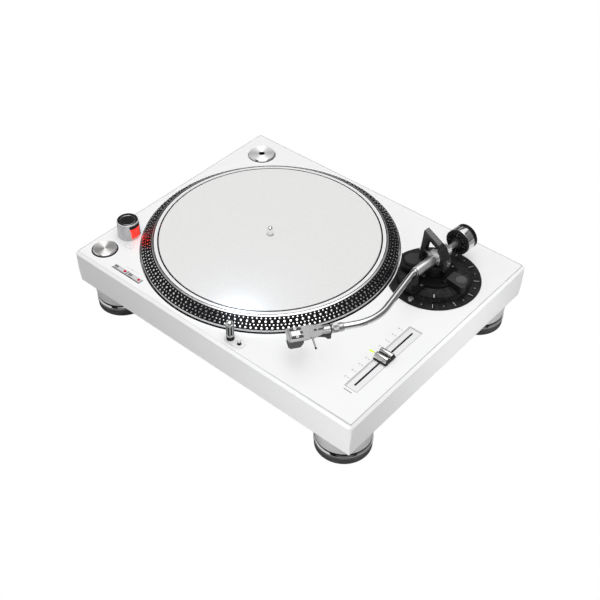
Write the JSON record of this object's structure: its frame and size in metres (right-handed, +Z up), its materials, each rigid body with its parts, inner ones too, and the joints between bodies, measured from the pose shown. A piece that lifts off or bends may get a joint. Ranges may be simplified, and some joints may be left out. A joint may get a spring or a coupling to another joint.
{
  "type": "dj turntable",
  "caption": "Direct drive record player with a dotted platter, felt mat, S-shaped tonearm with counterweight, pitch fader, strobe tower, pop-up lamp and screw feet.",
  "frame": {"origin": "on the floor under the middle of the plinth", "axes": "+X to the right along the width, +Y to the rear, +Z up"},
  "size_m": [0.45, 0.351, 0.1545],
  "materials": {
    "white_paint": "satin",
    "base_rubber": "matte",
    "steel": "satin",
    "board": "satin",
    "black_plastic": "matte",
    "gold_plate": "polished",
    "grey_metal": "satin",
    "red_lens": "gloss",
    "green_lens": "gloss",
    "plate_metal": "satin",
    "white_plastic": "satin",
    "black_paint": "satin",
    "foot_metal": "satin",
    "foot_rubber": "matte",
    "platter_metal": "satin",
    "magnet": "matte",
    "felt": "matte",
    "arm_metal": "polished",
    "spun_metal": "satin",
    "bright_chrome": "polished",
    "plated_plastic": "gloss",
    "grey_plastic": "satin"
  },
  "bodies": {
    "chassis": {"plinth_shell": "white_paint", "bottom_cover": "base_rubber", "cover_screws": "steel", "motor_stator": "board", "bearing_housing": "steel", "main_board": "board", "power_supply": "steel", "power_inlet": "black_plastic", "jack_panel": "black_plastic", "phono_jacks": "gold_plate", "strobe_tower": "grey_metal", "strobe_window": "red_lens", "strobe_lamp": "board", "fader_plate": "plate_metal", "fader_track": "black_plastic", "pitch_lamp": "green_lens", "key_board": "board", "lamp_plate": "white_plastic", "arm_base_plate": "black_paint"},
    "platter": {"platter": "platter_metal", "rotor_magnet": "magnet", "spindle": "bright_chrome"},
    "slipmat": {"slipmat": "felt"},
    "height_ring": {"height_ring": "black_paint"},
    "arm_base": {"arm_mount": "black_paint", "arm_rest": "black_plastic"},
    "antiskate_dial": {"antiskate_dial": "black_plastic"},
    "cue_lever": {"cue_lever": "black_plastic"},
    "cue_lifter": {"cue_lifter": "black_plastic"},
    "lock_knob": {"lock_knob": "bright_chrome"},
    "yoke": {"arm_yoke": "black_paint", "pivot_screws": "steel"},
    "arm": {"arm_sleeve": "grey_metal", "arm_tube": "arm_metal", "headshell": "spun_metal", "finger_lift": "bright_chrome", "cartridge": "black_plastic", "stylus": "grey_plastic"},
    "weight_core": {"weight_core": "spun_metal"},
    "counterweight": {"counterweight": "black_paint"},
    "force_dial": {"force_dial": "black_plastic"},
    "locking_collar": {"locking_collar": "bright_chrome"},
    "start_button": {"start_button": "spun_metal"},
    "speed_button_33": {"speed_button_33": "grey_plastic"},
    "speed_button_45": {"speed_button_45": "grey_plastic"},
    "power_dial": {"power_dial": "black_plastic"},
    "target_lamp": {"target_lamp": "bright_chrome"},
    "lamp_button": {"lamp_button": "bright_chrome"},
    "fader_knob": {"fader_knob": "plated_plastic"},
    "adapter_45": {"adapter_45": "spun_metal"},
    "output_switch": {"output_switch": "white_plastic"},
    "foot_front_left": {"foot_cup_front_left": "foot_metal", "foot_pad_front_left": "foot_rubber"},
    "foot_front_right": {"foot_cup_front_right": "foot_metal", "foot_pad_front_right": "foot_rubber"},
    "foot_rear_left": {"foot_cup_rear_left": "foot_metal", "foot_pad_rear_left": "foot_rubber"},
    "foot_rear_right": {"foot_cup_rear_right": "foot_metal", "foot_pad_rear_right": "foot_rubber"}
  },
  "joints": [
    {"name": "platter_spin", "type": "hinge", "parent": "chassis", "child": "platter", "pos_m": [-0.0475, 0, 0.087], "axis": [0, 0, 1], "continuous": true},
    {"name": "slipmat_slip", "type": "hinge", "parent": "platter", "child": "slipmat", "pos_m": [-0.0475, 0, 0.087], "axis": [0, 0, 1], "continuous": true},
    {"name": "height_turn", "type": "hinge", "parent": "chassis", "child": "height_ring", "pos_m": [0.1515, 0.08, 0.087], "axis": [0, 0, 1], "range_deg": [0, 180]},
    {"name": "base_lift", "type": "slide", "parent": "chassis", "child": "arm_base", "axis": [0, 0, 1], "range_m": [0, 0.006]},
    {"name": "lock_turn", "type": "hinge", "parent": "chassis", "child": "lock_knob", "pos_m": [0.1544, 0.02761, 0.089], "axis": [0, 0, 1], "range_deg": [0, 90]},
    {"name": "antiskate_turn", "type": "hinge", "parent": "arm_base", "child": "antiskate_dial", "pos_m": [0.12388, 0.07315, 0.104], "axis": [0, 0, 1], "range_deg": [0, 300]},
    {"name": "cue_turn", "type": "hinge", "parent": "arm_base", "child": "cue_lever", "pos_m": [0.17244, 0.07835, 0.0984], "axis": [-0.0785, -0.9969, 0], "range_deg": [0, 25]},
    {"name": "cue_lift", "type": "slide", "parent": "arm_base", "child": "cue_lifter", "axis": [0, 0, 1], "range_m": [0, 0.005]},
    {"name": "arm_yaw", "type": "hinge", "parent": "arm_base", "child": "yoke", "pos_m": [0.1515, 0.08, 0.121], "axis": [0, 0, -1], "range_deg": [0, 40]},
    {"name": "arm_pitch", "type": "hinge", "parent": "yoke", "child": "arm", "pos_m": [0.1515, 0.08, 0.121], "axis": [-0.9969, 0.0785, 0], "range_deg": [0, 10]},
    {"name": "weight_slide", "type": "slide", "parent": "arm", "child": "weight_core", "axis": [0.0785, 0.9969, 0], "range_m": [-0.0015, 0.006]},
    {"name": "weight_turn", "type": "hinge", "parent": "weight_core", "child": "counterweight", "pos_m": [0.1515, 0.08, 0.121], "axis": [0.0785, 0.9969, 0], "range_deg": [-180, 720]},
    {"name": "dial_turn", "type": "hinge", "parent": "weight_core", "child": "force_dial", "pos_m": [0.1515, 0.08, 0.121], "axis": [0.0785, 0.9969, 0], "range_deg": [0, 300]},
    {"name": "collar_turn", "type": "hinge", "parent": "arm", "child": "locking_collar", "pos_m": [0.14995, -0.07513, 0.121], "axis": [0.5736, 0.8192, 0], "range_deg": [0, 90]},
    {"name": "start_press", "type": "slide", "parent": "chassis", "child": "start_button", "axis": [0, 0, 1], "range_m": [-0.0012, 0], "stiffness_N_per_m": 800, "springref_m": 0.001},
    {"name": "speed33_press", "type": "slide", "parent": "chassis", "child": "speed_button_33", "axis": [0, 0, 1], "range_m": [-0.0012, 0], "stiffness_N_per_m": 300, "springref_m": 0.001},
    {"name": "speed45_press", "type": "slide", "parent": "chassis", "child": "speed_button_45", "axis": [0, 0, 1], "range_m": [-0.0012, 0], "stiffness_N_per_m": 300, "springref_m": 0.001},
    {"name": "lamp_button_press", "type": "slide", "parent": "chassis", "child": "lamp_button", "axis": [0, 0, 1], "range_m": [-0.0012, 0], "stiffness_N_per_m": 300, "springref_m": 0.001},
    {"name": "power_turn", "type": "hinge", "parent": "chassis", "child": "power_dial", "pos_m": [-0.197, -0.1065, 0.087], "axis": [0, 0, -1], "range_deg": [0, 45]},
    {"name": "lamp_push", "type": "slide", "parent": "chassis", "child": "target_lamp", "axis": [0, 0, 1], "range_m": [-0.024, 0]},
    {"name": "fader_slide", "type": "slide", "parent": "chassis", "child": "fader_knob", "axis": [0, 1, 0], "range_m": [-0.05, 0.05]},
    {"name": "adapter_lift", "type": "slide", "parent": "chassis", "child": "adapter_45", "axis": [0, 0, 1], "range_m": [0, 0.03]},
    {"name": "output_switch_slide", "type": "slide", "parent": "chassis", "child": "output_switch", "axis": [1, 0, 0], "range_m": [-0.002, 0.002]},
    {"name": "foot_turn_front_left", "type": "hinge", "parent": "chassis", "child": "foot_front_left", "pos_m": [-0.1865, -0.137, 0.0385], "axis": [0, 0, 1], "continuous": true},
    {"name": "foot_turn_front_right", "type": "hinge", "parent": "chassis", "child": "foot_front_right", "pos_m": [0.1865, -0.137, 0.0385], "axis": [0, 0, 1], "continuous": true},
    {"name": "foot_turn_rear_left", "type": "hinge", "parent": "chassis", "child": "foot_rear_left", "pos_m": [-0.1865, 0.137, 0.0385], "axis": [0, 0, 1], "continuous": true},
    {"name": "foot_turn_rear_right", "type": "hinge", "parent": "chassis", "child": "foot_rear_right", "pos_m": [0.1865, 0.137, 0.0385], "axis": [0, 0, 1], "continuous": true}
  ],
  "couplings": [
    {"joint": "base_lift", "follows": "height_turn", "m_per_rad": 0.0019099},
    {"joint": "cue_lift", "follows": "cue_turn", "m_per_rad": 0.011459},
    {"joint": "weight_slide", "follows": "weight_turn", "m_per_rad": 0.00047746}
  ]
}
